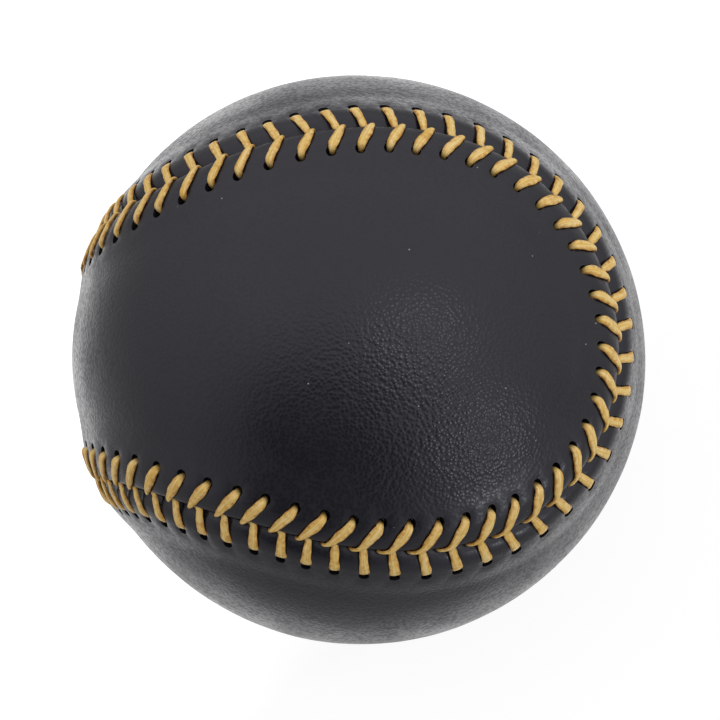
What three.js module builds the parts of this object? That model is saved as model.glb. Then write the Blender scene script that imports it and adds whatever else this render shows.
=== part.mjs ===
import * as THREE from "three";

// Outer sizes of the ball, in millimetres
const ballRadius = 36.7; // leather surface between the seams, across the ball
const stretchAlongX = 1.01; // the ball is a little longer end to end than it is wide
const leatherThickness = 1.25;

// Seam: three waves give the line that divides the cover into two equal figure eights
const secondWave = 0.46; // share of the second wave, against the first
const thirdWave = 0.0206; // small wave that rounds the four lobes

// Stitching
const stitchPairs = 54; // each thread takes every other hole of a row, so stitches come in pairs
const holeDistance = 4.2; // from the middle of the seam to the middle of a hole
const rowShift = 0.3; // the second panel's holes sit this much further along the seam
const threadThickness = 0.5; // where the thread passes under the leather and through a hole
const threadWidth = 0.8; // in the same places, along the seam
const firstLegWidth = 1.4; // where the thread lies flattened across the first panel
const secondLegWidth = 1.15; // and across the second
const legThickness = 0.55;
const tipWidth = 0.54; // where the thread is pulled down between the panels
const tipThickness = 0.42;
const secondReach = 0.3; // how far the second panel's legs run before they dive, in stitches
const tipClearance = 0.75; // between the two legs of a stitch, where the first panel's runs further
const sewingClearance = 0.2; // left round the thread wherever it passes the leather

// Raised seam
const edgeThickness = 0.8; // the leather is pared thinner at its sewn edge
const crestRise = 0.1; // the rolled strip stands this much above the hole row
const shoulderDistance = 3; // from the hole row to where the leather lies flat again

// Core, from the inside out
const corkRadius = 10.3;
const blackRubberThickness = 3.97;
const redRubberThickness = 2.38;
const gasketThickness = 0.8;
const halfShellClearance = 0.15; // between each red half and the middle plane

// Windings, from the outside in; the first winding fills what is left round the core
const finishingThickness = 0.5;
const thirdWindingThickness = 1.95;
const secondWindingThickness = 1.75;
const layerClearance = 0.1;
const coverClearance = 0.05; // left under the lowest facet of the leather
const yarnOpening = 0.05; // half angle, in radians, of the hole where a yarn end comes through

// Fineness of the surfaces
const facetsPerQuarter = 4; // round the core and the windings
const outerRungs = 36; // strips across the middle of each leather panel, on its outer face
const innerRungs = 27;

// Seam line

function seamDirection(turn) {
  const first = 1 / (1 + secondWave);
  const second = secondWave / (1 + secondWave);
  const endwise = 2 * Math.sqrt(first * second);
  return new THREE.Vector3(
    endwise * Math.cos(2 * turn),
    -first * Math.sin(turn) - second * Math.sin(3 * turn) - thirdWave * Math.sin(5 * turn),
    first * Math.cos(turn) - second * Math.cos(3 * turn) + thirdWave * Math.cos(5 * turn),
  ).normalize();
}

const seamSteps = 4000;
const seamLengths = [0];
for (let step = 1; step <= seamSteps; step += 1) {
  const from = seamDirection(2 * Math.PI * (step - 1) / seamSteps);
  const to = seamDirection(2 * Math.PI * step / seamSteps);
  seamLengths.push(seamLengths[step - 1] + from.angleTo(to) * ballRadius);
}
const seamLength = seamLengths[seamSteps];

// Sizes worked out from those above
const stitchCount = 2 * stitchPairs;
const pitch = seamLength / stitchCount;
const secondTip = secondReach * pitch;
const firstTip = secondTip + tipWidth + tipClearance;
const innerStep = seamLength / (2 * innerRungs);
const facetDip = innerStep ** 2 / (4 * ballRadius); // of a facet's middle below its corners
const windingRadius = ballRadius - leatherThickness - facetDip - coverClearance;
const undersideAtSeam = threadThickness + sewingClearance - leatherThickness;
const topAtEdge = undersideAtSeam + edgeThickness;
const tipHeight = topAtEdge + sewingClearance + tipThickness / 2;
const threadDepth = (undersideAtSeam + windingRadius - ballRadius) / 2;
const holeAcross = threadThickness + 2 * sewingClearance;
const holeAlong = threadWidth + 2 * sewingClearance;
const seamEdge = tipThickness / 2 + sewingClearance;
const holeFront = holeDistance - holeAcross / 2;
const holeBack = holeDistance + holeAcross / 2;
const crestDistance = (seamEdge + holeFront) / 2;
const shoulder = holeDistance + shoulderDistance;
const topAtHoles = undersideAtSeam + leatherThickness;
const topBehindHoles = topAtHoles * (shoulder - holeBack) / shoulderDistance;

// Height of the leather's two faces, listed by distance from the seam
const topProfile = [
  [seamEdge, topAtEdge],
  [crestDistance, topAtHoles + crestRise],
  [holeFront, topAtHoles],
  [holeBack, topBehindHoles],
  [shoulder, 0],
];
const undersideProfile = [
  [seamEdge, undersideAtSeam],
  [holeFront, undersideAtSeam],
  [holeBack, topBehindHoles - leatherThickness],
  [shoulder, -leatherThickness],
];

// Radii of the layers
const blackInner = corkRadius + layerClearance;
const blackOuter = corkRadius + blackRubberThickness;
const blackRim = gasketThickness / 2 + layerClearance;
const redInner = blackOuter + layerClearance;
const redOuter = blackOuter + redRubberThickness;
const finishingInner = windingRadius - finishingThickness;
const thirdOuter = finishingInner - layerClearance;
const thirdInner = thirdOuter - thirdWindingThickness;
const secondOuter = thirdInner - layerClearance;
const secondInner = secondOuter - secondWindingThickness;
const firstOuter = secondInner - layerClearance;
const firstInner = redOuter + layerClearance;

// Places on the ball

function turnAt(along) {
  const wanted = THREE.MathUtils.euclideanModulo(along, seamLength);
  let low = 0;
  let high = seamSteps;
  while (high - low > 1) {
    const middle = Math.floor((low + high) / 2);
    if (seamLengths[middle] > wanted) {
      high = middle;
    } else {
      low = middle;
    }
  }
  const share = (wanted - seamLengths[low]) / (seamLengths[high] - seamLengths[low]);
  return 2 * Math.PI * (low + share) / seamSteps;
}

function seamTangent(along) {
  const turn = turnAt(along);
  const small = 0.0005;
  return seamDirection(turn + small).sub(seamDirection(turn - small)).normalize();
}

// From the distance along the seam, the distance across it and the height above the leather
function ballPoint(along, across, height) {
  const ahead = seamTangent(along);
  const up = seamDirection(turnAt(along));
  const aside = ahead.clone().cross(up);
  const angle = across / ballRadius;
  const direction = up.multiplyScalar(Math.cos(angle)).addScaledVector(aside, Math.sin(angle));
  return direction.multiplyScalar(ballRadius + height);
}

// The core is round, and the windings over it stretch the ball along X more and more
function outOfRound(place) {
  const share = Math.max(0, place.length() - redOuter) / (windingRadius - redOuter);
  const stretch = 1 + share * (stretchAlongX - 1);
  return new THREE.Vector3(place.x * stretch, place.y, place.z);
}

function heightOn(profile, distance) {
  for (let index = 1; index < profile.length; index += 1) {
    const [start, startHeight] = profile[index - 1];
    const [end, endHeight] = profile[index];
    if (distance <= end) {
      const share = Math.max(0, (distance - start) / (end - start));
      return startHeight + share * (endHeight - startHeight);
    }
  }
  return profile[profile.length - 1][1];
}

// Surfaces joined point by point

class Surface {
  constructor(reversed) {
    this.reversed = reversed;
    this.places = [];
    this.faces = [];
  }

  point(place) {
    this.places.push(...outOfRound(place).toArray());
    return this.places.length / 3 - 1;
  }

  triangle(a, b, c) {
    if (this.reversed) {
      this.faces.push(a, c, b);
    } else {
      this.faces.push(a, b, c);
    }
  }

  quad(a, b, c, d) {
    this.triangle(a, b, c);
    this.triangle(a, c, d);
  }

  // Joins two rows of points of different count; each point carries its share of the row
  zip(near, far, closed) {
    const ahead = (row, index) => (index < row.length ? row[index].share : row[0].share + 1);
    const last = closed ? 0 : 1;
    let nearIndex = 0;
    let farIndex = 0;
    while (nearIndex < near.length - last || farIndex < far.length - last) {
      const a = near[nearIndex % near.length].id;
      const b = far[farIndex % far.length].id;
      const nearDone = nearIndex >= near.length - last;
      const farDone = farIndex >= far.length - last;
      const nearFirst = ahead(near, nearIndex + 1) <= ahead(far, farIndex + 1);
      if (farDone || (!nearDone && nearFirst)) {
        this.triangle(a, near[(nearIndex + 1) % near.length].id, b);
        nearIndex += 1;
      } else {
        this.triangle(a, far[(farIndex + 1) % far.length].id, b);
        farIndex += 1;
      }
    }
  }

  geometry() {
    const geometry = new THREE.BufferGeometry();
    geometry.setAttribute("position", new THREE.Float32BufferAttribute(this.places, 3));
    geometry.setIndex(this.faces);
    geometry.computeVertexNormals();
    return geometry;
  }
}

// Leather panels: a figure eight each, with a row of stitch holes all round

// The first panel has side 1 and the second has side -1, and lies a quarter of the seam further on
function leatherPanel(side) {
  const panel = new Surface(side > 0);
  const apex = side > 0 ? 0 : seamLength / 4;
  const columns = holeColumns(apex, side > 0 ? 0 : rowShift);
  const top = sewnRows(panel, columns, side, topProfile);
  const bottom = sewnRows(panel, columns, side, undersideProfile);
  for (let row = 1; row < top.length; row += 1) {
    joinRows(panel, top[row - 1], top[row], row === top.length - 1);
  }
  for (let row = 1; row < bottom.length; row += 1) {
    joinRows(panel, bottom[row], bottom[row - 1], row === bottom.length - 1);
  }
  joinRows(panel, bottom[0], top[0], false);
  for (let hole = 0; hole < stitchCount; hole += 1) {
    holeWalls(panel, top, bottom, hole);
  }
  panelMiddle(panel, top[top.length - 1], apex, side, 0, outerRungs);
  panelMiddle(panel, bottom[bottom.length - 1], apex, side, -leatherThickness, innerRungs);
  return panel.geometry();
}

// Places along the seam of the two ends of every hole, counted from the panel's apex
function holeColumns(apex, shift) {
  const firstHole = Math.ceil(apex / pitch);
  const columns = [];
  for (let hole = 0; hole < stitchCount; hole += 1) {
    const middle = (firstHole + hole) * pitch + shift;
    for (const along of [middle - holeAlong / 2, middle + holeAlong / 2]) {
      columns.push({ along, share: (along - apex) / seamLength });
    }
  }
  return columns;
}

function sewnRows(panel, columns, side, profile) {
  return profile.slice(0, -1).map(([across, height]) => columns.map(({ along, share }) => {
    const id = panel.point(ballPoint(along, side * across, height));
    return { id, share };
  }));
}

// Where the row lies beside the holes only the leather between two holes is joined
function joinRows(panel, near, far, besideHoles) {
  for (let column = besideHoles ? 1 : 0; column < near.length; column += besideHoles ? 2 : 1) {
    const next = (column + 1) % near.length;
    panel.quad(near[column].id, near[next].id, far[next].id, far[column].id);
  }
}

function holeWalls(panel, top, bottom, hole) {
  const start = 2 * hole;
  const end = start + 1;
  const upper = [top[2][start], top[2][end], top[3][end], top[3][start]];
  const lower = [bottom[1][start], bottom[1][end], bottom[2][end], bottom[2][start]];
  for (let corner = 0; corner < 4; corner += 1) {
    const next = (corner + 1) % 4;
    panel.quad(lower[next].id, lower[corner].id, upper[corner].id, upper[next].id);
  }
}

// The middle is laid out in strips from one side of the figure eight straight over to the other
function panelMiddle(panel, sewnEdge, apex, side, height, rungs) {
  const underneath = height < 0;
  const shoulderRow = [];
  for (let index = 0; index < 2 * rungs; index += 1) {
    const share = index / (2 * rungs);
    const place = ballPoint(apex + share * seamLength, side * shoulder, height);
    shoulderRow.push({ id: panel.point(place), share, place });
  }
  zipFacing(panel, sewnEdge, shoulderRow, true, underneath);
  let previous = [{ id: shoulderRow[0].id, share: 0 }];
  for (let rung = 1; rung <= rungs; rung += 1) {
    const start = shoulderRow[rung];
    const end = shoulderRow[2 * rungs - rung];
    const current = rungPoints(panel, start, end, seamLength / (2 * rungs));
    zipFacing(panel, current, previous, false, underneath);
    previous = current;
  }
}

function zipFacing(panel, near, far, closed, underneath) {
  if (underneath) {
    panel.zip(far, near, closed);
  } else {
    panel.zip(near, far, closed);
  }
}

function rungPoints(panel, start, end, longestStep) {
  if (start.id === end.id) {
    return [{ id: start.id, share: 0 }];
  }
  const radius = start.place.length();
  const span = start.place.angleTo(end.place);
  const parts = Math.ceil(span * radius / longestStep);
  const points = [{ id: start.id, share: 0 }];
  for (let part = 1; part < parts; part += 1) {
    const share = part / parts;
    const place = start.place.clone().multiplyScalar(Math.sin((1 - share) * span));
    place.addScaledVector(end.place, Math.sin(share * span)).setLength(radius);
    points.push({ id: panel.point(place), share });
  }
  points.push({ id: end.id, share: 1 });
  return points;
}

// Stitching thread: one closed round, hole by hole, on alternate sides of the seam

// Each station has its place along, across and above the seam and the thread's size there
function legStations(stitch, side) {
  const hole = stitch * pitch + (side > 0 ? 0 : rowShift);
  const tip = stitch * pitch + (side > 0 ? firstTip : secondTip);
  const legPlace = (share, across) => ({
    along: hole + share * (tip - hole),
    across: side * across,
    height: heightOn(topProfile, across) + sewingClearance + legThickness / 2,
  });
  const beforeCrest = (crestDistance + holeDistance) / 2;
  const sewn = { width: threadWidth, thickness: threadThickness };
  const flat = { width: side > 0 ? firstLegWidth : secondLegWidth, thickness: legThickness };
  const pulled = { width: tipWidth, thickness: tipThickness };
  return [
    { along: hole, across: side * holeDistance, height: threadDepth, ...sewn },
    { ...legPlace(0, holeDistance), ...sewn },
    { ...legPlace(0.14, beforeCrest), ...flat },
    { ...legPlace(0.42, crestDistance), ...flat },
    { along: tip, across: 0, height: tipHeight, ...pulled },
    { along: tip, across: 0, height: threadDepth, ...pulled },
  ];
}

function stitchingThread(firstSide) {
  const stations = [];
  for (let stitch = 0; stitch < stitchCount; stitch += 1) {
    const side = stitch % 2 === 0 ? firstSide : -firstSide;
    stations.push(...legStations(stitch, side));
  }
  const centres = stations.map(({ along, across, height }) => ballPoint(along, across, height));
  const thread = new Surface(false);
  const rings = stations.map((station, index) => {
    const before = centres[(index + centres.length - 1) % centres.length];
    const after = centres[(index + 1) % centres.length];
    return threadRing(thread, station, before, centres[index], after);
  });
  rings.forEach((ring, index) => {
    const next = rings[(index + 1) % rings.length];
    for (let corner = 0; corner < 4; corner += 1) {
      const beside = (corner + 1) % 4;
      thread.quad(ring[corner], next[corner], next[beside], ring[beside]);
    }
  });
  return thread.geometry();
}

// Four points round the thread, mitred so that it keeps its thickness through a bend
function threadRing(thread, station, before, centre, after) {
  const arriving = centre.clone().sub(before).normalize();
  const leaving = after.clone().sub(centre).normalize();
  const course = arriving.clone().add(leaving).normalize();
  const mitre = 1 / course.dot(leaving);
  const face = seamTangent(station.along).cross(course).normalize();
  const edge = course.clone().cross(face).multiplyScalar(station.width / 2);
  face.multiplyScalar(mitre * station.thickness / 2);
  return [
    thread.point(centre.clone().add(edge)),
    thread.point(centre.clone().add(face)),
    thread.point(centre.clone().sub(edge)),
    thread.point(centre.clone().sub(face)),
  ];
}

// Round layers of the core and the windings

function arc(radius, from, to) {
  const row = Math.PI / (2 * facetsPerQuarter);
  const points = [];
  const direction = Math.sign(to - from);
  let angle = from;
  while (direction * (to - angle) > 1e-6) {
    points.push(new THREE.Vector2(radius * Math.sin(angle), -radius * Math.cos(angle)));
    const rows = direction > 0 ? Math.floor(angle / row + 1e-6) + 1 : Math.ceil(angle / row - 1e-6) - 1;
    angle = rows * row;
  }
  points.push(new THREE.Vector2(radius * Math.sin(to), -radius * Math.cos(to)));
  return points;
}

function turned(profile) {
  const geometry = new THREE.LatheGeometry(profile, 4 * facetsPerQuarter).rotateX(Math.PI / 2);
  const places = geometry.getAttribute("position");
  const place = new THREE.Vector3();
  for (let index = 0; index < places.count; index += 1) {
    const { x, y, z } = outOfRound(place.fromBufferAttribute(places, index));
    places.setXYZ(index, x, y, z);
  }
  return geometry;
}

// A cup that covers half of the core, opening downwards or upwards
function halfShell(innerRadius, outerRadius, rimHeight, upper) {
  const outerRim = Math.acos(rimHeight / outerRadius);
  const innerRim = Math.acos(rimHeight / innerRadius);
  const lower = [
    ...arc(outerRadius, 0, outerRim),
    ...arc(innerRadius, innerRim, 0),
  ];
  const profile = upper ? lower.map(({ x, y }) => new THREE.Vector2(x, -y)).reverse() : lower;
  return turned(profile);
}

function gasketRing(innerRadius, outerRadius) {
  const half = gasketThickness / 2;
  const profile = [
    new THREE.Vector2(innerRadius, -half),
    new THREE.Vector2(outerRadius, -half),
    new THREE.Vector2(outerRadius, half),
    new THREE.Vector2(innerRadius, half),
    new THREE.Vector2(innerRadius, -half),
  ];
  return turned(profile);
}

// A wound layer is closed but for the small hole where the yarn end comes through
function windingShell(innerRadius, outerRadius) {
  const profile = [
    ...arc(outerRadius, 0, Math.PI - yarnOpening),
    ...arc(innerRadius, Math.PI - yarnOpening, 0),
  ];
  return turned(profile);
}

// Materials

function material(name, color, roughness) {
  return new THREE.MeshStandardMaterial({ name, color, roughness, metalness: 0 });
}

const cork = material("cork", 0xa97848, 0.9);
const blackRubber = material("black_rubber", 0x1d1d1e, 0.7);
const redRubber = material("red_rubber", 0x9e2f25, 0.7);
const greyWool = material("grey_wool", 0x96948e, 1);
const whiteWool = material("white_wool", 0xe3dfd2, 1);
const cottonYarn = material("white_cotton_yarn", 0xefece2, 0.95);
const leather = material("charcoal_leather", 0x3b3c41, 0.45);
const waxedThread = material("waxed_straw_thread", 0xb39761, 0.5);

// Assembly

const ball = new THREE.Group();

function addPiece(name, geometry, look) {
  const mesh = new THREE.Mesh(geometry, look.clone());
  mesh.name = name;
  ball.add(mesh);
}

addPiece("cork_core", turned(arc(corkRadius, 0, Math.PI)), cork);
addPiece("black_rubber_half_upper", halfShell(blackInner, blackOuter, blackRim, true), blackRubber);
addPiece("black_rubber_half_lower", halfShell(blackInner, blackOuter, blackRim, false), blackRubber);
addPiece("red_rubber_gasket", gasketRing(blackInner, blackOuter), redRubber);
addPiece("red_rubber_half_upper", halfShell(redInner, redOuter, halfShellClearance, true), redRubber);
addPiece("red_rubber_half_lower", halfShell(redInner, redOuter, halfShellClearance, false), redRubber);
addPiece("first_winding_grey_wool", windingShell(firstInner, firstOuter), greyWool);
addPiece("second_winding_white_wool", windingShell(secondInner, secondOuter), whiteWool);
addPiece("third_winding_grey_wool", windingShell(thirdInner, thirdOuter), greyWool);
addPiece("finishing_winding_cotton", windingShell(finishingInner, windingRadius), cottonYarn);
addPiece("leather_panel_a", leatherPanel(1), leather);
addPiece("leather_panel_b", leatherPanel(-1), leather);
addPiece("stitching_thread_a", stitchingThread(1), waxedThread);
addPiece("stitching_thread_b", stitchingThread(-1), waxedThread);

export default ball;
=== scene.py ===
import math

import bmesh
import bpy
import numpy as np
from mathutils import Matrix, Vector, noise


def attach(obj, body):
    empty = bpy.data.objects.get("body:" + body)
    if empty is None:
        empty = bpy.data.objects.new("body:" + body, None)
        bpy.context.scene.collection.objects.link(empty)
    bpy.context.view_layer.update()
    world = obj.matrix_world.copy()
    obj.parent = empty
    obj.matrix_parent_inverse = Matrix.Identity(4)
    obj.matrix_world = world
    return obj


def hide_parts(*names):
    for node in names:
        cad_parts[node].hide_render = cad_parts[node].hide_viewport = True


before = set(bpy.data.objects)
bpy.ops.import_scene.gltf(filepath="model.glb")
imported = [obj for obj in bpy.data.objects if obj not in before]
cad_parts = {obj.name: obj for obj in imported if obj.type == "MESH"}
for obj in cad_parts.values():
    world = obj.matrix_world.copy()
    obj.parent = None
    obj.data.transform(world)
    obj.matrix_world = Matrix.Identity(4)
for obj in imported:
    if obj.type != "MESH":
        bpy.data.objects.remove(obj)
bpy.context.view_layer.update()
scene = bpy.context.scene
millimetre = 0.001
print("frame loaded:", len(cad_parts), "nodes")


# The camera stands nearly straight above the ball

camera = {
    "right": (0.99483, 0.02429, -0.09865),
    "up": (-0.01276, 0.99318, 0.11589),
    "back": (0.10080, -0.11403, 0.98835),  # from the ball towards the camera
    "distance": 0.9175,
    "sensor": 36,
    "lens": 356.4,
    "shift": (0.0043, 0.0003),
}


def addCamera():
    back = np.array(camera["back"]) / np.linalg.norm(camera["back"])
    data = bpy.data.cameras.new("camera")
    data.sensor_width = camera["sensor"]
    data.lens = camera["lens"]
    data.shift_x, data.shift_y = camera["shift"]
    data.clip_end = 20
    obj = bpy.data.objects.new("camera", data)
    scene.collection.objects.link(obj)
    axes = Matrix((camera["right"], camera["up"], tuple(back))).transposed()
    obj.matrix_world = Matrix.Translation(tuple(back * camera["distance"])) @ axes.to_4x4()
    scene.camera = obj


# Places on the ball, from the distance along the seam, the distance across it and the height, in mm

ball = {
    "radius": 36.7,
    "secondWave": 0.46,
    "thirdWave": 0.0206,
    "stitches": 108,
    "stretch": 0.01,  # along X, from the core outwards
    "flatSides": [  # where the windings are a little flatter: direction, share, sharpness
        ((-0.81, -0.586, 0.015), 0.022, 4.1),
        ((-0.885, 0.445, 0.142), 0.013, 25.0),
    ],
    "coreRadius": 16.65,
    "windingRadius": 35.016,
}


def seamTable(parts=32400):
    turn = np.linspace(0, 2 * np.pi, parts + 1)
    first = 1 / (1 + ball["secondWave"])
    second = ball["secondWave"] / (1 + ball["secondWave"])
    third = ball["thirdWave"]
    line = np.stack([
        2 * math.sqrt(first * second) * np.cos(2 * turn),
        -first * np.sin(turn) - second * np.sin(3 * turn) - third * np.sin(5 * turn),
        first * np.cos(turn) - second * np.cos(3 * turn) + third * np.cos(5 * turn),
    ], 1)
    line /= np.linalg.norm(line, axis=1)[:, None]
    strides = np.linalg.norm(np.diff(line, axis=0), axis=1) * ball["radius"]
    along = np.concatenate([[0], np.cumsum(strides)])
    ahead = np.gradient(line, along, axis=0)
    ahead[0] = ahead[-1] = ahead[1] + ahead[-2]
    ahead /= np.linalg.norm(ahead, axis=1)[:, None]
    return along, line, ahead


seamAlong, seamLine, seamAhead = seamTable()
seamLength = seamAlong[-1]
pitch = seamLength / ball["stitches"]


def seamFrame(along):
    along = np.mod(along, seamLength)
    up = np.stack([np.interp(along, seamAlong, seamLine[:, axis]) for axis in range(3)], 1)
    ahead = np.stack([np.interp(along, seamAlong, seamAhead[:, axis]) for axis in range(3)], 1)
    up /= np.linalg.norm(up, axis=1)[:, None]
    ahead -= up * np.sum(up * ahead, axis=1)[:, None]
    ahead /= np.linalg.norm(ahead, axis=1)[:, None]
    return up, ahead, np.cross(ahead, up)


def outOfRound(place):
    distance = np.linalg.norm(place, axis=1)
    share = (distance - ball["coreRadius"]) / (ball["windingRadius"] - ball["coreRadius"])
    flat = np.zeros(len(place))
    for side, depth, sharpness in ball["flatSides"]:
        nearness = place @ np.array(side) / np.maximum(distance, 1e-9)
        flat += depth * np.maximum(0, share) * np.exp(-sharpness * (1 - nearness))
    stretched = place * (1 - flat)[:, None]
    stretched[:, 0] *= 1 + ball["stretch"] * np.maximum(0, share)
    return stretched


# A hand-sewn seam wanders: stitch number and millimetres, read off the photograph where it shows
wander = {
    "seam": [
        (-24, 0.0), (-20, -0.1), (-15, -0.2), (-10, -0.1), (-7.5, 0.1), (-5, 0.5), (-3, 0.5), (-1, 0.0),
        (2, -0.35), (4, -0.8), (6, -0.65), (8, -0.65), (10, -0.45), (12, -0.3), (14, -0.1), (16, 0.1),
        (18, -0.5), (20, -1.2), (22, -1.95), (24, -2.4), (27, -1.8), (31, -0.5), (35, 0.0),
    ],
    "firstRow": [
        (-24, 0.0), (-21, 0.1), (-19, 0.0), (-17, -0.1), (-15, 0.35), (-13, 0.15), (-11, -0.2),
        (-9, -0.6), (-7, -0.5), (-5.5, 0.0), (0, -0.1), (6, 0.15), (12, -0.05), (14, -0.4), (16, -0.5),
        (21, -0.4), (26, 0.0),
    ],
    "secondRow": [
        (-24, 0.2), (-20, -0.2), (-17, 0.4), (-14, 0.0), (-12, 0.2), (-8, 0.45), (-4, 0.1), (0, 0.3),
        (3, 0.7), (6, 0.9), (9, 0.85), (12, 1.0), (14, 0.75), (15.5, 0.1), (20, 0.0), (24, 0.2),
    ],
    "firstReach": [
        (-24, 2.2), (-20, 2.05), (-13, 1.95), (-9, 2.65), (-5, 2.1), (0, 2.1), (10, 2.2), (13.5, 2.6),
        (16, 2.4), (20, 2.0), (24, 2.2),
    ],
    "tail": [
        (-24, 0.3), (-19, 0.2), (-16, 0.05), (-4, 0.0), (-2, 0.5), (0, 0.65), (3, 0.85), (6, 1.3),
        (11, 1.3), (13, 0.5), (15, 0.1), (20, 0.0), (24, 0.3),
    ],
    "secondReach": [
        (-24, 1.4), (-20, 1.6), (-17, 1.0), (-15, 1.5), (-12, 0.65), (-9, 0.25), (-6, 0.4), (-3, 0.6),
        (0, 0.75), (3, 0.9), (7, 1.1), (10, 1.0), (12, 0.7), (14, 0.15), (17, 0.5), (20, 0.35), (24, 0.9),
    ],
}
wanderSteps = 16  # to one stitch


def smoothWander(rows):
    # Evened out over two stitches; past the first and last stitch read, the end values stay
    count = ball["stitches"]
    numbers = np.arange(-count // 2, count // 2, 1 / wanderSteps)
    values = np.interp(numbers, [row[0] for row in rows], [row[1] for row in rows])
    window = np.hanning(2 * wanderSteps + 1)
    spread = len(window) // 2
    wrapped = np.concatenate([values[-spread:], values, values[:spread]])
    smooth = np.convolve(wrapped, window / window.sum(), mode="valid")
    return np.roll(smooth, -(count // 2) * wanderSteps)


wanderTables = {name: smoothWander(rows) for name, rows in wander.items()}


def wanderAt(name, along):
    place = np.mod(along / pitch, ball["stitches"]) * wanderSteps
    table = wanderTables[name]
    return np.interp(place, np.arange(len(table) + 1), np.append(table, table[0]))


def onBall(along, across, height):
    up, ahead, aside = seamFrame(along)
    lean = ((across + wanderAt("seam", along)) / ball["radius"])[:, None]
    outwards = up * np.cos(lean) + aside * np.sin(lean)
    return outOfRound(outwards * (ball["radius"] + height)[:, None])


# Stitches: each leg comes up out of its hole, lies over the leather and dives between the panels

stitch = {
    "holeDistance": 3.92,  # of the thread in its hole
    "holeScatter": (0.08, 0.06),  # along and across the seam
    "reachScatter": 0.07,
    "tuck": 0.25,  # the second leg ends so far behind the first leg's tip
    "shortestTail": 0.02,
    "lying": slice(3, 9),  # stations of a leg that lie on the leather
    "nearLeather": slice(2, 10),
    "underPanel": (2.3, -1.12, 0.8, 0.5, 1.0),  # across, height, width, thickness, and stain with painted shade on the way back
    "sides": 14,
    "smoothing": 2,
    "openAt": 5,  # station where the loop opens, flat on the leather
    "squareness": 0.85,  # of its section: 1 is an ellipse
    "slack": ((0.05, 1.9, 0), (0.04, 0.83, 1)),  # share of the width, length in mm and start of each wave
    "ply": (0.05, 4.2),  # share of the width, and mm for one turn of the two plies
    "fibreRun": 0.06,  # how far the fibre pattern moves on in 1 mm
}

# Stations of a leg: share of the reach, share of the tail, across, height, width, thickness, and stain with
# painted shade (the thread painted dark where it goes down into its hole and between the panels)
firstLeg = [
    (0.00, 0.0, 4.00, -1.00, 0.80, 0.52, 1.0),
    (0.00, 0.0, 4.04, -0.40, 0.84, 0.54, 0.9),
    (0.00, 0.0, 4.02, 0.22, 0.96, 0.56, 0.3),
    (0.04, 0.0, 3.84, 0.66, 1.12, 0.54, 0.0),
    (0.15, 0.0, 3.36, 0.86, 1.34, 0.50, 0.0),
    (0.39, 0.0, 2.42, 0.93, 1.40, 0.48, 0.0),
    (0.58, 0.0, 1.68, 0.95, 1.26, 0.48, 0.0),
    (0.74, 0.0, 1.02, 0.94, 1.02, 0.47, 0.0),
    (0.87, 0.1, 0.52, 0.89, 0.76, 0.44, 0.0),
    (0.95, 0.4, 0.20, 0.78, 0.50, 0.40, 0.05),
    (1.00, 0.8, 0.04, 0.60, 0.42, 0.38, 0.2),
    (1.01, 1.0, 0.00, 0.25, 0.42, 0.38, 0.7),
    (1.03, 1.0, -0.06, -0.35, 0.46, 0.40, 1.0),
    (1.08, 1.0, -0.30, -0.95, 0.62, 0.45, 1.0),
]
secondLeg = [
    (0.00, 0.0, 4.02, -1.00, 0.85, 0.52, 1.0),
    (0.00, 0.0, 4.06, -0.45, 0.85, 0.52, 1.0),
    (0.00, 0.0, 4.00, 0.14, 1.12, 0.54, 0.5),
    (0.06, 0.0, 3.60, 0.60, 1.36, 0.52, 0.0),
    (0.20, 0.0, 3.05, 0.83, 1.32, 0.48, 0.0),
    (0.38, 0.0, 2.35, 0.90, 1.22, 0.47, 0.0),
    (0.57, 0.0, 1.65, 0.86, 1.15, 0.47, 0.0),
    (0.74, 0.0, 1.02, 0.80, 1.11, 0.46, 0.0),
    (0.87, 0.0, 0.48, 0.70, 1.06, 0.44, 0.0),
    (1.00, 0.0, -0.05, 0.58, 0.94, 0.42, 0.0),
    (1.00, 0.3, -0.50, 0.50, 0.84, 0.40, 0.3),
    (1.00, 0.75, -0.38, 0.28, 0.68, 0.40, 1.0),
    (1.00, 1.0, -0.10, -0.35, 0.56, 0.40, 1.0),
    (1.00, 1.1, 0.00, -0.95, 0.62, 0.45, 1.0),
]

chance = np.random.default_rng(108)
numbers = np.arange(ball["stitches"])
holePlaces = {}  # side: along and nudge across of every hole
reaches = {}
tails = {}
for side, row, reach in ((1, "firstRow", "firstReach"), (-1, "secondRow", "secondReach")):
    scatter = np.clip(chance.normal(0, 1, (len(numbers), 3)), -1.6, 1.6)
    holePlaces[side] = np.stack([
        numbers * pitch + wanderAt(row, numbers * pitch) + scatter[:, 0] * stitch["holeScatter"][0],
        scatter[:, 1] * stitch["holeScatter"][1],
    ], 1)
    reaches[side] = wanderAt(reach, numbers * pitch) + scatter[:, 2] * stitch["reachScatter"]
tails[1] = np.maximum(wanderAt("tail", numbers * pitch), stitch["shortestTail"])
tipPlaces = holePlaces[1][:, 0] + reaches[1]
tails[-1] = tipPlaces - stitch["tuck"] - holePlaces[-1][:, 0] - reaches[-1]


def legStations(side, number):
    along, nudge = holePlaces[side][number % ball["stitches"]]
    reach = reaches[side][number % ball["stitches"]]
    tail = tails[side][number % ball["stitches"]]
    plan = np.array(firstLeg if side > 0 else secondLeg)
    rows = plan[:, 1:].copy()
    rows[:, 0] = along + plan[:, 0] * reach + plan[:, 1] * tail + (number // ball["stitches"]) * seamLength
    rows[:, 1] += nudge * np.clip(rows[:, 1] / stitch["holeDistance"], 0, 1)
    return rows


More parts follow.
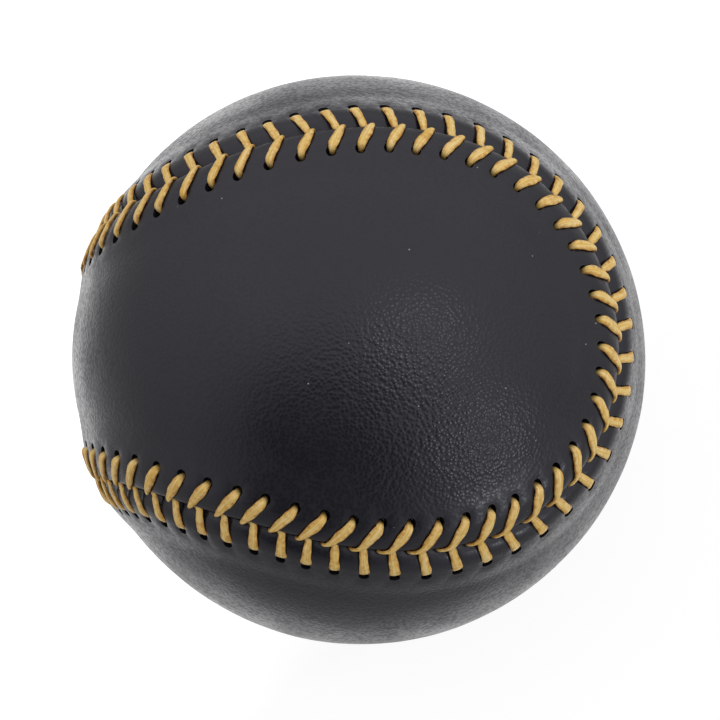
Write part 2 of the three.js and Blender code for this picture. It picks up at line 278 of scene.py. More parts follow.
def legDistance(along, distance, side):
    # How far each point of a panel is from the nearest leg, and that leg's width there
    nearest = np.full(len(along), 9.0)
    width = np.ones(len(along))
    home = np.floor(along / pitch + 0.5).astype(int)
    stations = np.array([
        legStations(side, number)[stitch["nearLeather"]] for number in range(ball["stitches"])
    ])
    for step in (-1, 0, 1):
        number = home + step
        wraps = number // ball["stitches"]
        leg = stations[number % ball["stitches"]]
        for row in range(leg.shape[1] - 1):
            start, end = leg[:, row], leg[:, row + 1]
            run = end[:, :2] - start[:, :2]
            point = np.stack([along - wraps * seamLength, distance], 1) - start[:, :2]
            share = np.clip(np.sum(point * run, 1) / np.sum(run * run, 1), 0, 1)
            gap = np.linalg.norm(point - run * share[:, None], axis=1)
            closer = gap < nearest
            nearest = np.where(closer, gap, nearest)
            across = start[:, 3] + (end[:, 3] - start[:, 3]) * share
            width = np.where(closer, across, width)
    return nearest, width


# Leather panels: one stitch of the sewn edge is modelled flat, copied round and laid on the ball

leather = {
    "columns": 16,  # faces along one stitch
    "middleColumns": 4,  # and in the middle of the panel
    "rungParts": 24,
    "holeMiddle": 4.4,
    "holeSize": {1: (1.34, 1.62), -1: (1.32, 1.24)},  # along and across, on each panel
    "holeBehind": 0.22,  # of the first panel's holes, behind the thread
    "holeBlock": (3, 2, 0.565),  # faces it replaces to each side, along and across, and their width across
    "holeRing": 0.24,  # between the rings of faces round a hole
    "holeRings": 5,
    "holeHold": 3,  # the leather round a hole moves with it out to here
    "holeDip": 0.1,
    "holeDipReach": 0.55,
    "holeDipSquash": 0.8,
    "legDip": 0.15,
    "legDipWidth": 0.52,  # share of the leg's width
    "legDipStart": (0.1, 0.8),  # distance from the seam where it starts and how soon it is full
    "bulge": (0.04, 0.8, 2.2, 1.5),  # between legs: share, gap to a leg, distance from the seam, spread
    "scallop": 0.24,  # of the edge where the thread dives
    "scallopReach": 0.55,
    "divePulls": (0.8, 1.0),  # at the first and the second leg
    "diveWidth": 0.38,
    "seamGap": 0.2,  # left open beside the second panel's edge
    "seamGapReach": 0.5,
    "rollFloor": 0.3,  # the second panel's top rolls down towards this depth under the ball's surface
    "lumps": ((0.11, 1), (0.37, 0.4)),  # of the wool under the leather: waves to a mm and share
    "unevenness": 0.06,
    "thickness": 1.25,
    "sheetGap": 0.3,  # what lies this far above the underside belongs to the top
    "taut": (8.4, 3),  # the leather is pulled taut up to here, less and less over this distance
    "smoothAngle": 50,
}

# Distance from the seam and height, over the top, round the edge and back underneath
panelProfile = [
    (8.6, 0.0), (8.0, 0.03), (7.4, 0.08), (6.8, 0.15), (6.3, 0.23), (5.9, 0.3), (5.55, 0.36), (5.25, 0.41),
    (4.97, 0.45), (4.68, 0.5), (4.4, 0.55), (4.12, 0.6), (3.84, 0.66),
    (3.55, 0.71), (3.25, 0.76), (2.95, 0.79), (2.6, 0.81), (2.25, 0.82), (1.9, 0.82), (1.55, 0.82),
    (1.2, 0.8), (0.9, 0.77), (0.65, 0.72), (0.45, 0.63), (0.3, 0.48), (0.19, 0.26), (0.12, 0.0),
    (0.09, -0.2), (0.1, -0.45),
    (0.3, -0.58), (1.2, -0.56), (2.4, -0.55), (3.3, -0.56),
    (3.84, -0.6), (4.12, -0.62), (4.4, -0.65), (4.68, -0.68), (4.97, -0.7),
    (5.6, -0.84), (6.7, -1.06), (7.7, -1.21), (8.6, -1.25),
]
# The second panel rolls down to the seam and is fuller behind its holes: distance, share left, height added
secondRoll = np.array([
    (0, 0.16, 0), (0.45, 0.27, 0), (0.9, 0.52, 0), (1.2, 0.68, 0), (1.9, 0.88, 0), (2.4, 0.95, 0),
    (3.25, 1, 0), (3.84, 1, 0.05), (4.4, 1, 0.1), (5.0, 1, 0.115), (6.3, 1, 0.115), (7.0, 1, 0.1),
    (8.0, 1, 0.04), (8.6, 1, 0),
])
# Rows of the profile
topHoleRow = 10
edgeRow = 24
undersideRow = 29
undersideHoleRow = 35


def deselectAll():
    if bpy.context.object and bpy.context.object.mode != "OBJECT":
        bpy.ops.object.mode_set(mode="OBJECT")
    bpy.ops.object.select_all(action="DESELECT")


def makeActive(obj):
    deselectAll()
    obj.select_set(True)
    bpy.context.view_layer.objects.active = obj


def roundHole(spot, column, row, holeRow, size):
    # Draws the rows and columns round a hole into ovals; returns the new place and the ring's number
    middle = np.array([pitch / 2, leather["holeMiddle"]])
    columns, rows, halfWidth = leather["holeBlock"]
    ring = max(abs(column - leather["columns"] // 2) - columns, abs(row - holeRow) - rows)
    if ring >= leather["holeRings"] or ring < 0:
        return spot, ring
    block = np.array([columns * pitch / leather["columns"], halfWidth])
    ray = (spot - middle) / (block + leather["holeRing"] * ring)
    ray = ray / max(np.linalg.norm(ray), 1e-9)
    oval = middle + ray * (np.array(size) / 2 + leather["holeRing"] * ring)
    return spot + (oval - spot) * (1 - ring / leather["holeRings"]), ring


def stitchTile(name, side):
    # A flat strip one stitch long: x along the seam, y the distance from it, z the height, in mm
    rows = len(panelProfile) - 1
    deselectAll()
    bpy.ops.mesh.primitive_grid_add(x_subdivisions=leather["columns"], y_subdivisions=rows, size=1)
    tile = bpy.context.object
    tile.name = name
    rims = tile.vertex_groups.new(name="holeRims")
    inside = tile.vertex_groups.new(name="insideHoles")
    spare = tile.vertex_groups.new(name="spare")
    for vertex in tile.data.vertices:
        column = round((vertex.co.x + 0.5) * leather["columns"])
        row = round((vertex.co.y + 0.5) * rows)
        distance, height = panelProfile[row]
        spot = np.array([column * pitch / leather["columns"], distance])
        holeRow = topHoleRow if row < edgeRow else undersideHoleRow
        spot, ring = roundHole(spot, column, row, holeRow, leather["holeSize"][side])
        if ring == 0:
            rims.add([vertex.index], 1, "REPLACE")
        if ring < 0:
            inside.add([vertex.index], 1, "REPLACE")
        if row in (0, rows) and column % (leather["columns"] // leather["middleColumns"]):
            spare.add([vertex.index], 1, "REPLACE")
        if holeRow == topHoleRow:
            apart = (spot - np.array([pitch / 2, leather["holeMiddle"]])) * (1, leather["holeDipSquash"])
            away = np.linalg.norm(apart) - leather["holeDipReach"]
            height -= leather["holeDip"] * math.exp(-(max(away, 0) / leather["holeDipReach"]) ** 2)
        vertex.co = (spot[0], spot[1], height)
    bpy.ops.object.mode_set(mode="EDIT")
    bpy.ops.mesh.select_mode(type="VERT")
    bpy.ops.mesh.select_all(action="DESELECT")
    selectGroup(tile, "insideHoles")
    bpy.ops.mesh.delete(type="VERT")
    selectGroup(tile, "spare")
    bpy.ops.mesh.dissolve_verts()
    bpy.ops.mesh.select_all(action="DESELECT")
    selectGroup(tile, "holeRims")
    bpy.ops.mesh.bridge_edge_loops(number_cuts=2)
    bpy.ops.object.mode_set(mode="OBJECT")
    return tile


def selectGroup(obj, group):
    obj.vertex_groups.active_index = obj.vertex_groups[group].index
    bpy.ops.object.vertex_group_select()


def wrapStrip(mesh, side):
    # Lays the flat strip along the seam, with its holes where the thread comes up
    flat = np.zeros(len(mesh.vertices) * 3)
    mesh.vertices.foreach_get("co", flat)
    flat = flat.reshape(-1, 3)
    number = np.floor(flat[:, 0] / pitch + 1e-6).astype(int) % ball["stitches"]
    within = flat[:, 0] / pitch - np.floor(flat[:, 0] / pitch + 1e-6) - 0.5
    fromHoles = np.abs(flat[:, 1] - leather["holeMiddle"]) / leather["holeHold"]
    hold = np.clip(1 - np.abs(within) * 2, 0, 1) * np.clip(1 - fromHoles, 0, 1)
    along = flat[:, 0] - pitch / 2
    nudges = holePlaces[side][number]
    rowShift = wanderAt("firstRow" if side > 0 else "secondRow", along)
    behind = leather["holeBehind"] if side > 0 else 0
    along = along + rowShift + (nudges[:, 0] - number * pitch - rowShift - behind) * hold
    distance = flat[:, 1] + nudges[:, 1] * hold
    height = flat[:, 2].copy()
    top = height > undersideHeight(flat[:, 1]) + leather["sheetGap"]
    gap, width = legDistance(along, distance, side)
    begin, rise = leather["legDipStart"]
    press = leather["legDip"] * np.exp(-(gap / (leather["legDipWidth"] * width)) ** 4)
    press = press * np.clip((distance - begin) / rise, 0, 1)
    if side < 0:
        left, added = (np.interp(distance, secondRoll[:, 0], secondRoll[:, column]) for column in (1, 2))
        press = press + np.maximum(height + leather["rollFloor"], 0) * (1 - left) - added
    share, clear, centre, spread = leather["bulge"]
    bulge = share * np.clip(gap - clear, 0, clear) * np.exp(-((distance - centre) / spread) ** 2)
    height = height - np.where(top, press, 0) + np.where(top, bulge, 0)
    dive = divePull(along) * np.exp(-(distance / leather["scallopReach"]) ** 2)
    distance = distance + leather["scallop"] * dive
    if side < 0:
        distance = distance + leather["seamGap"] * np.exp(-(distance / leather["seamGapReach"]) ** 2)
    return along, distance, height, top


def undersideHeight(distance):
    under = sorted(panelProfile[undersideRow:])
    return np.interp(distance, [row[0] for row in under], [row[1] for row in under])


def divePull(along):
    # Nearness to the places where the legs of both panels go down between the edges
    pull = np.zeros(len(along))
    wrapped = np.mod(along, seamLength)
    for places, strength in zip((tipPlaces + tails[1], tipPlaces - stitch["tuck"]), leather["divePulls"]):
        tips = np.sort(np.mod(places, seamLength))
        tips = np.concatenate([[tips[-1] - seamLength], tips, [tips[0] + seamLength]])
        after = np.clip(np.searchsorted(tips, wrapped), 1, len(tips) - 1)
        gap = np.minimum(np.abs(wrapped - tips[after - 1]), np.abs(tips[after] - wrapped))
        pull = np.maximum(pull, strength * np.exp(-(gap / leather["diveWidth"]) ** 2))
    return pull


def unevenLeather(places):
    # The wool under the leather shows as slight unevenness
    return np.array([
        sum(share * noise.noise(place * turns) for turns, share in leather["lumps"])
        for place in map(Vector, places)
    ]) * leather["unevenness"]


def fillMiddle(work, edge, height, apex):
    # Strips from one side of the figure eight straight over to the other
    count = len(edge)
    parts = leather["rungParts"]
    radius = ball["radius"] + height
    start = int(np.argmin([abs(math.remainder(along - apex, seamLength)) for along, _ in edge]))
    ring = [edge[(start + index) % count][1] for index in range(count)]
    previous = [ring[0]]
    for rung in range(1, count // 2 + 1):
        near, far = ring[rung], ring[-rung]
        current = [near]
        if near is not far:
            first, last = near["direction"], far["direction"]
            span = math.acos(float(np.clip(first @ last, -1, 1)))
            for part in range(1, parts):
                share = part / parts
                direction = first * math.sin((1 - share) * span) + last * math.sin(share * span)
                direction = direction / np.linalg.norm(direction)
                current.append({"direction": direction, "radius": radius, "vertex": None})
            current.append(far)
        for point in current:
            if point["vertex"] is None:
                point["vertex"] = work.verts.new((0, 0, 0))
                work.middle.append(point)
        joinRungs(work, [point["vertex"] for point in previous], [point["vertex"] for point in current])
        previous = current


def joinRungs(work, before, after):
    if len(before) == len(after):
        for index in range(len(before) - 1):
            work.faces.new((before[index], before[index + 1], after[index + 1], after[index]))
    elif len(before) == 1:
        work.faces.new([before[0]] + after)
    else:
        work.faces.new([after[0]] + before)


class panelWork:
    # The bmesh of a panel, with a list of the points of its middle
    def __init__(self, mesh):
        self.bm = bmesh.new()
        self.bm.from_mesh(mesh)
        self.verts = self.bm.verts
        self.faces = self.bm.faces
        self.middle = []


def addPanel(node, side, material):
    tile = stitchTile(node + "_cover", side)
    copies = tile.modifiers.new("stitches", "ARRAY")
    copies.use_relative_offset = False
    copies.use_constant_offset = True
    copies.constant_offset_displace = (pitch, 0, 0)
    copies.count = ball["stitches"]
    copies.use_merge_vertices = True
    copies.merge_threshold = 0.002
    bpy.ops.object.modifier_apply(modifier=copies.name)
    along, distance, height, top = wrapStrip(tile.data, side)
    places = onBall(along, side * distance, height)
    lift = unevenLeather(places)
    apex = 0 if side > 0 else seamLength / 4
    work = panelWork(tile.data)
    stripVerts = list(work.verts)
    outerEnd = panelProfile[0][0]
    directions = places / np.linalg.norm(places, axis=1)[:, None]
    plain = onBall(along, side * distance, np.zeros(len(along)))
    plain[:, 0] /= 1 + ball["stretch"] * (ball["radius"] - ball["coreRadius"]) / (
        ball["windingRadius"] - ball["coreRadius"])
    plain /= np.linalg.norm(plain, axis=1)[:, None]
    flat = np.array([vertex.co for vertex in tile.data.vertices])
    for onTop, level in ((True, 0.0), (False, -leather["thickness"])):
        edge = []
        for index in np.nonzero((flat[:, 1] > outerEnd - 1e-3) & (top == onTop))[0]:
            if flat[index, 0] > seamLength - 1e-3:
                continue
            point = {"direction": plain[index], "radius": None, "vertex": stripVerts[index]}
            edge.append((along[index], point))
        edge.sort(key=lambda row: row[0])
        fillMiddle(work, edge, level, apex)
    slackFrom, fade = leather["taut"]
    lay = np.stack([along, distance, np.clip((slackFrom - distance) / fade, 0, 1)], 1)
    shifted = places + directions * lift[:, None]
    for vertex, place in zip(stripVerts, shifted):
        vertex.co = place * millimetre
    middle = outOfRound(np.array([point["direction"] * point["radius"] for point in work.middle]))
    middle += middle / np.linalg.norm(middle, axis=1)[:, None] * unevenLeather(middle)[:, None]
    for point, place in zip(work.middle, middle):
        point["vertex"].co = place * millimetre
    work.bm.to_mesh(tile.data)
    work.bm.free()
    lay = np.concatenate([lay, np.tile([0.0, 9.0, 0.0], (len(middle), 1))])
    attribute = tile.data.attributes.new("lay", "FLOAT_VECTOR", "POINT")
    attribute.data.foreach_set("vector", lay.astype(np.float32).ravel())
    bpy.ops.object.mode_set(mode="EDIT")
    bpy.ops.mesh.select_all(action="SELECT")
    bpy.ops.mesh.remove_doubles(threshold=0.000002)
    bpy.ops.mesh.normals_make_consistent(inside=False)
    bpy.ops.object.mode_set(mode="OBJECT")
    bpy.ops.object.shade_smooth_by_angle(angle=math.radians(leather["smoothAngle"]))
    tile.vertex_groups.clear()
    dress(tile, node, material)
    return tile


def dress(obj, node, material):
    obj.data.materials.clear()
    obj.data.materials.append(material)
    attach(obj, "root")
    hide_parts(node)


# Stitching threads: each goes once round the seam and changes sides at every stitch

def smoothLoop(rows, parts, closing):
    # Catmull-Rom through the rows; the loop closes with the first row moved on by closing
    before = np.roll(rows, 1, axis=0)
    before[0] -= closing
    after = np.roll(rows, -1, axis=0)
    after[-1] += closing
    beyond = np.roll(rows, -2, axis=0)
    beyond[-2:] += closing
    samples = []
    for part in range(parts):
        t = part / parts
        samples.append(0.5 * (
            2 * rows + (after - before) * t
            + (2 * before - 5 * rows + 4 * after - beyond) * t ** 2
            + (3 * rows - before - 3 * after + beyond) * t ** 3
        ))
    return np.stack(samples, 1).reshape(-1, rows.shape[1])


def threadStations(firstSide):
    rows = []
    for number in range(ball["stitches"]):
        side = firstSide if number % 2 == 0 else -firstSide
        leg = legStations(side, number)
        leg[:, 1] *= side
        following = legStations(-side, number + 1)
        across, *rest = stitch["underPanel"]
        under = ((leg[-1, 0] + following[0, 0]) / 2, -side * across, *rest)
        lying = np.zeros((len(leg) + 1, 1))
        lying[stitch["lying"]] = 1
        rows.append(np.concatenate([np.vstack([leg, under]), lying], 1))
    return np.vstack(rows)


def turnedFrames(centres, courses, upwards, lying):
    # Carries a width direction along the thread and turns it flat wherever the thread lies on leather
    count = len(centres)
    width = np.zeros((count + 1, 3))
    width[0] = np.cross(upwards[0], courses[0])
    width[0] /= np.linalg.norm(width[0])
    for index in range(count):
        following = courses[(index + 1) % count]
        step = centres[(index + 1) % count] - centres[index]
        mirrored = width[index] - step * (2 * (step @ width[index]) / (step @ step))
        course = courses[index] - step * (2 * (step @ courses[index]) / (step @ step))
        step = following - course
        size = step @ step
        if size > 1e-12:
            mirrored = mirrored - step * (2 * (step @ mirrored) / size)
        mirrored -= following * (mirrored @ following)
        width[index + 1] = mirrored / np.linalg.norm(mirrored)
    angles, places = [0.0], [0]
    for index in list(np.nonzero(lying[1:] > 0.99)[0] + 1) + [count]:
        wanted = np.cross(upwards[index % count], courses[index % count])
        other = np.cross(courses[index % count], width[index])
        angle = math.atan2(wanted @ other, wanted @ width[index])
        angle += math.pi * round((angles[-1] - angle) / math.pi)
        angles.append(angle)
        places.append(index)
    angle = np.interp(np.arange(count + 1), places, angles)
    other = np.cross(np.vstack([courses, courses[:1]]), width)
    turned = width * np.cos(angle)[:, None] + other * np.sin(angle)[:, None]
    flips = round(turned[-1] @ turned[0])
    return turned[:-1], flips < 0


def addThread(node, firstSide, material):
    stations = threadStations(firstSide)
    start = stitch["openAt"]
    closing = np.zeros(stations.shape[1])
    closing[0] = seamLength
    stations = np.vstack([stations[start:], stations[:start] + closing])
    rows = smoothLoop(stations, stitch["smoothing"], closing)
    centres = onBall(rows[:, 0], rows[:, 1], rows[:, 2])
    courses = np.roll(centres, -1, axis=0) - np.roll(centres, 1, axis=0)
    courses /= np.linalg.norm(courses, axis=1)[:, None]
    upwards = centres / np.linalg.norm(centres, axis=1)[:, None]
    width, flipped = turnedFrames(centres, courses, upwards, rows[:, 6])
    thick = np.cross(courses, width)
    sides = stitch["sides"]
    count = len(rows)
    run = np.concatenate([[0], np.cumsum(np.linalg.norm(np.diff(centres, axis=0), axis=1))])
    turn = 2 * np.pi * np.arange(sides) / sides
    waves = np.stack([np.cos(turn), np.sin(turn)])
    wide, high = np.sign(waves) * np.abs(waves) ** stitch["squareness"]
    slack = 1 + sum(share * np.sin(run / length + begin) for share, length, begin in stitch["slack"])
    bulge, twist = stitch["ply"]
    ply = 1 + bulge * np.cos(2 * (turn[None, :] - run[:, None] * 2 * np.pi / twist))
    wide = wide[None, :] * ply * (rows[:, 3] * slack / 2)[:, None]
    high = high[None, :] * ply * (rows[:, 4] / 2)[:, None]
    points = centres[:, None, :] + width[:, None, :] * wide[:, :, None] + thick[:, None, :] * high[:, :, None]
    fibre = np.stack([wide, high, np.tile(run[:, None] * stitch["fibreRun"], (1, sides))], 2)
    faces = []
    for ring in range(count):
        after = (ring + 1) % count
        slip = sides // 2 if flipped and after == 0 else 0
        for corner in range(sides):
            beside = (corner + 1) % sides
            faces.append((
                ring * sides + corner, ring * sides + beside,
                after * sides + (beside + slip) % sides, after * sides + (corner + slip) % sides,
            ))
    mesh = bpy.data.meshes.new(node + "_waxed")
    mesh.from_pydata((points.reshape(-1, 3) * millimetre).tolist(), [], faces)
    for name, kind, field, values in (
        ("fibre", "FLOAT_VECTOR", "vector", fibre.reshape(-1)),
        # stain and painted shade: dark where the thread goes down into a hole or under a panel
        ("stainAndShade", "FLOAT", "value", np.repeat(rows[:, 5], sides)),
        # edge: nearness to the thread's sides, where painted shade darkens it
        ("edge", "FLOAT", "value", np.tile(np.abs(np.cos(turn)), count)),
    ):
        attribute = mesh.attributes.new(name, kind, "POINT")
        attribute.data.foreach_set(field, values.astype(np.float32))
    thread = bpy.data.objects.new(node + "_waxed", mesh)
    scene.collection.objects.link(thread)
    makeActive(thread)
    bpy.ops.object.mode_set(mode="EDIT")
    bpy.ops.mesh.select_all(action="SELECT")
    bpy.ops.mesh.normals_make_consistent(inside=False)
    bpy.ops.object.mode_set(mode="OBJECT")
    bpy.ops.object.shade_smooth()
    dress(thread, node, material)
    print("thread length in mm:", round(run[-1], 1))
    return thread


# Windings: a wound yarn lies over a shell that fills each layer

# Inner and outer radius, width and thickness of the yarn, turns, and slot
windings = {
    "first_winding_grey_wool": ((16.76, 30.6), (1.9, 0.9), 46, "grey_wool"),
    "second_winding_white_wool": ((30.73, 32.45), (1.6, 0.7), 50, "white_wool"),
    "third_winding_grey_wool": ((32.58, 34.4), (1.7, 0.8), 52, "grey_wool"),
    "finishing_winding_cotton": ((34.53, 35.0), (0.9, 0.26), 78, "cotton_yarn"),
}
yarn = {
    "parts": 76,  # of one turn
    "drift": 0.71,  # how far each turn moves round
    "tip": 0.23,  # and how far it tips over
    "sunk": 0.45,  # share of its thickness below the shell
    "unevenness": (12, 0.06, 0.12),  # parts to a wave, share of the thickness and of the width
    "sides": 6,
    "fibreRun": 0.12,  # how far the fibre pattern moves on in 1 mm
    "shellFibre": 0.25,  # and of the shell's own
}


def addShell(bm, radius, outwards):
    made = bmesh.ops.create_icosphere(bm, subdivisions=5, radius=radius)
    if not outwards:
        faces = {face for vertex in made["verts"] for face in vertex.link_faces}
        bmesh.ops.reverse_faces(bm, faces=list(faces))


def woundPath(turns):
    # Great circles whose plane tips over and drifts round, so that the yarn crosses itself everywhere
    step = np.arange(turns * yarn["parts"] + 1) / yarn["parts"]
    drift = yarn["drift"] * step
    tip = np.arccos(np.abs((yarn["tip"] * step) % 2 - 1))
    turn = 2 * np.pi * step
    x, y = np.cos(turn), np.sin(turn) * np.cos(tip)
    return np.stack([
        x * np.cos(drift) - y * np.sin(drift),
        x * np.sin(drift) + y * np.cos(drift),
        np.sin(turn) * np.sin(tip),
    ], 1)


def addWinding(node, radii, size, turns, slot, material):
    inner, outer = radii
    yarnWidth, yarnThickness = size
    bm = bmesh.new()
    addShell(bm, outer - yarnThickness * yarn["sunk"], True)
    addShell(bm, inner, False)
    shell = [np.array(vertex.co) for vertex in bm.verts]
    directions = woundPath(turns)
    count = len(directions)
    length, dip, swell = yarn["unevenness"]
    chance = np.random.default_rng(turns)
    heights = chance.uniform(-1, 1, count // length + 2)
    wave = np.interp(np.arange(count), np.arange(0, count + length, length), heights)
    radius = outer - yarnThickness / 2 - dip * yarnThickness * (1 + wave)
    ends = np.minimum(np.arange(count), np.arange(count)[::-1])
    radius -= yarnThickness * np.clip(1 - ends / length, 0, 1)
    centres = directions * radius[:, None]
    courses = np.gradient(centres, axis=0)
    courses /= np.linalg.norm(courses, axis=1)[:, None]
    aside = np.cross(courses, directions)
    aside /= np.linalg.norm(aside, axis=1)[:, None]
    run = np.concatenate([[0], np.cumsum(np.linalg.norm(np.diff(centres, axis=0), axis=1))])
    sides = yarn["sides"]
    turn = 2 * np.pi * np.arange(sides) / sides
    wide = np.cos(turn)[None, :] * (yarnWidth / 2 * (1 + swell * wave))[:, None]
    high = np.sin(turn)[None, :] * np.full((count, 1), yarnThickness / 2)
    points = centres[:, None, :] + aside[:, None, :] * wide[:, :, None]
    points = points + directions[:, None, :] * high[:, :, None]
    rings = [[bm.verts.new(point) for point in ring] for ring in points]
    for before, after in zip(rings, rings[1:]):
        for corner in range(sides):
            beside = (corner + 1) % sides
            bm.faces.new((before[corner], before[beside], after[beside], after[corner]))
    bm.faces.new(rings[0][::-1])
    bm.faces.new(rings[-1])
    mesh = bpy.data.meshes.new(node + "_wound")
    places = np.array([vertex.co for vertex in bm.verts])
    for vertex, place in zip(bm.verts, outOfRound(places)):
        vertex.co = place * millimetre
    bmesh.ops.recalc_face_normals(bm, faces=[face for face in bm.faces if len(face.verts) != 3])
    bm.to_mesh(mesh)
    bm.free()
    fibre = np.concatenate([
        np.array(shell) * yarn["shellFibre"],
        np.stack([wide, high, np.tile(run[:, None] * yarn["fibreRun"], (1, sides))], 2).reshape(-1, 3),
    ])
    attribute = mesh.attributes.new("fibre", "FLOAT_VECTOR", "POINT")
    attribute.data.foreach_set("vector", fibre.astype(np.float32).ravel())
    winding = bpy.data.objects.new(node + "_wound", mesh)
    scene.collection.objects.link(winding)
    makeActive(winding)
    bpy.ops.object.shade_smooth()
    dress(winding, node, material)
    return winding


# Materials

def hexColour(text):
    channels = [int(text[index:index + 2], 16) / 255 for index in (1, 3, 5)]
    return (*[c / 12.92 if c <= 0.04045 else ((c + 0.055) / 1.055) ** 2.4 for c in channels], 1)


def addNode(tree, kind, inputs=None, **settings):
    node = tree.nodes.new(kind)
    for name, value in settings.items():
        setattr(node, name, value)
    for socket, value in (inputs or {}).items():
        if isinstance(value, bpy.types.NodeSocket):
            tree.links.new(value, node.inputs[socket])
        else:
            node.inputs[socket].default_value = value
    return node


def newMaterial(name):
    material = bpy.data.materials.new(name)
    material.use_nodes = True
    tree = material.node_tree
    return material, tree, tree.nodes["Principled BSDF"]


def perMetre(size):
    return 1 / (size * millimetre)


leatherLook = {
    "dark": "#15151a",
    "light": "#1c1c21",
    "grain": 0.5,  # mm across one pebble
    "roughness": (0.27, 0.42),  # of the pebbles and the valleys between them
    "mottle": 0.16,  # how much the sheen varies from place to place
    "lint": "#a5a39c",
    "lintSpacing": 4.5,
    "lintRadius": 0.12,
    "swirl": (1.6, 0.3),  # the pebbles bend over this distance, by this much
    "pores": 0.22,  # mm across
    "patches": 9,  # mm across: darker and lighter, duller and shinier
    "folds": (1.1, 0.16, 0.0),  # waves to a mm along the seam and across it
    "coarseMiddle": (0.014, -0.009, 0.033),  # m: the pebbles stand highest round this place
    "coarseReach": (8, 24),  # mm from it: fully, and least
}


def drumDyedLeather():
    # Drum-dyed full-grain cowhide: near black with a blue cast, pebbled, with a low wax sheen
    material, tree, shader = newMaterial("drum dyed full-grain leather")
    place = addNode(tree, "ShaderNodeTexCoord").outputs["Object"]
    size, bend = leatherLook["swirl"]
    swirl = addNode(tree, "ShaderNodeTexNoise", {"Vector": place, "Scale": perMetre(size), "Detail": 2.0})
    bent = addNode(tree, "ShaderNodeVectorMath", {
        0: swirl.outputs["Color"], 1: (bend * millimetre,) * 3, 2: place,
    }, operation="MULTIPLY_ADD")
    pebbles = addNode(tree, "ShaderNodeTexVoronoi", {
        "Vector": bent.outputs["Vector"], "Scale": perMetre(leatherLook["grain"]), "Randomness": 1.0,
    }, feature="F1")
    domes = addNode(tree, "ShaderNodeMapRange", {
        "Value": pebbles.outputs["Distance"], "From Min": 0.0, "From Max": 1.1, "To Min": 1.0, "To Max": 0.0,
    }, interpolation_type="SMOOTHSTEP")
    pores = addNode(tree, "ShaderNodeTexNoise", {
        "Vector": place, "Scale": perMetre(leatherLook["pores"]), "Detail": 3.0,
    })
    patches = addNode(tree, "ShaderNodeTexNoise", {
        "Vector": place, "Scale": perMetre(leatherLook["patches"]), "Detail": 4.0,
    })
    tone = addNode(tree, "ShaderNodeMix", {
        "Factor": patches.outputs["Fac"],
        "A": hexColour(leatherLook["dark"]), "B": hexColour(leatherLook["light"]),
    }, data_type="RGBA")
    lint = addNode(tree, "ShaderNodeTexVoronoi", {
        "Vector": place, "Scale": perMetre(leatherLook["lintSpacing"]), "Randomness": 1.0,
    }, feature="F1")
    specks = addNode(tree, "ShaderNodeMapRange", {
        "Value": lint.outputs["Distance"],
        "From Min": 0.5 * leatherLook["lintRadius"] / leatherLook["lintSpacing"],
        "From Max": leatherLook["lintRadius"] / leatherLook["lintSpacing"], "To Min": 1.0, "To Max": 0.0,
    })
    dusted = addNode(tree, "ShaderNodeMix", {
        "Factor": specks.outputs["Result"], "A": tone.outputs["Result"], "B": hexColour(leatherLook["lint"]),
    }, data_type="RGBA")
    lay = addNode(tree, "ShaderNodeAttribute", attribute_name="lay")
    stretched = addNode(tree, "ShaderNodeVectorMath", {
        0: lay.outputs["Vector"], 1: leatherLook["folds"],
    }, operation="MULTIPLY")
    pull = addNode(tree, "ShaderNodeTexNoise", {
        "Vector": stretched.outputs["Vector"], "Scale": 1.0, "Detail": 3.0,
    })
    parts = addNode(tree, "ShaderNodeSeparateXYZ", {0: lay.outputs["Vector"]})
    pulled = addNode(tree, "ShaderNodeMath", {
        0: pull.outputs["Fac"], 1: parts.outputs["Z"],
    }, operation="MULTIPLY")
    roughness = addNode(tree, "ShaderNodeMapRange", {
        "Value": domes.outputs["Result"], "From Min": 0.25, "From Max": 0.8,
        "To Min": leatherLook["roughness"][1], "To Max": leatherLook["roughness"][0],
    })
    mottled = addNode(tree, "ShaderNodeMapRange", {
        "Value": patches.outputs["Fac"], "From Min": 0.3, "From Max": 0.7,
        "To Min": -0.5 * leatherLook["mottle"], "To Max": 0.5 * leatherLook["mottle"],
    })
    sheen = addNode(tree, "ShaderNodeMath", {0: roughness.outputs["Result"], 1: mottled.outputs["Result"]},
                    operation="ADD")
    folds = addNode(tree, "ShaderNodeBump", {
        "Height": pulled.outputs["Value"], "Strength": 0.3, "Distance": 0.06 * millimetre,
    })
    flank = addNode(tree, "ShaderNodeVectorMath", {0: place, 1: leatherLook["coarseMiddle"]},
                    operation="DISTANCE")
    near, far = leatherLook["coarseReach"]
    coarse = addNode(tree, "ShaderNodeMapRange", {
        "Value": flank.outputs["Value"], "From Min": near * millimetre, "From Max": far * millimetre,
        "To Min": 1.0, "To Max": 0.3,
    })
    taut = addNode(tree, "ShaderNodeMapRange", {"Value": parts.outputs["Z"], "To Min": 1.0, "To Max": 0.35})
    relief = addNode(tree, "ShaderNodeMath", {0: coarse.outputs["Result"], 1: taut.outputs["Result"]},
                     operation="MULTIPLY")
    grain = addNode(tree, "ShaderNodeBump", {
        "Height": domes.outputs["Result"], "Strength": relief.outputs["Value"],
        "Distance": 0.075 * millimetre, "Normal": folds.outputs["Normal"],
    })
    fine = addNode(tree, "ShaderNodeBump", {
        "Height": pores.outputs["Fac"], "Strength": 0.2, "Distance": 0.01 * millimetre,
        "Normal": grain.outputs["Normal"],
    })
    for socket, value in {
        "Base Color": dusted.outputs["Result"], "Roughness": sheen.outputs["Value"],
        "Normal": fine.outputs["Normal"],
    }.items():
        tree.links.new(value, shader.inputs[socket])
    shader.inputs["IOR"].default_value = 1.5
    return material


# Name, dark and light of the fibres, and roughness
yarnLooks = {
    "grey_wool": ("grey wool yarn", "#4e4c49", "#8f8b84", 0.9),
    "white_wool": ("white wool yarn", "#b8b0a0", "#e6dfd0", 0.9),
    "cotton_yarn": ("cotton and polyester yarn", "#c2b9a6", "#ece6d8", 0.8),
}


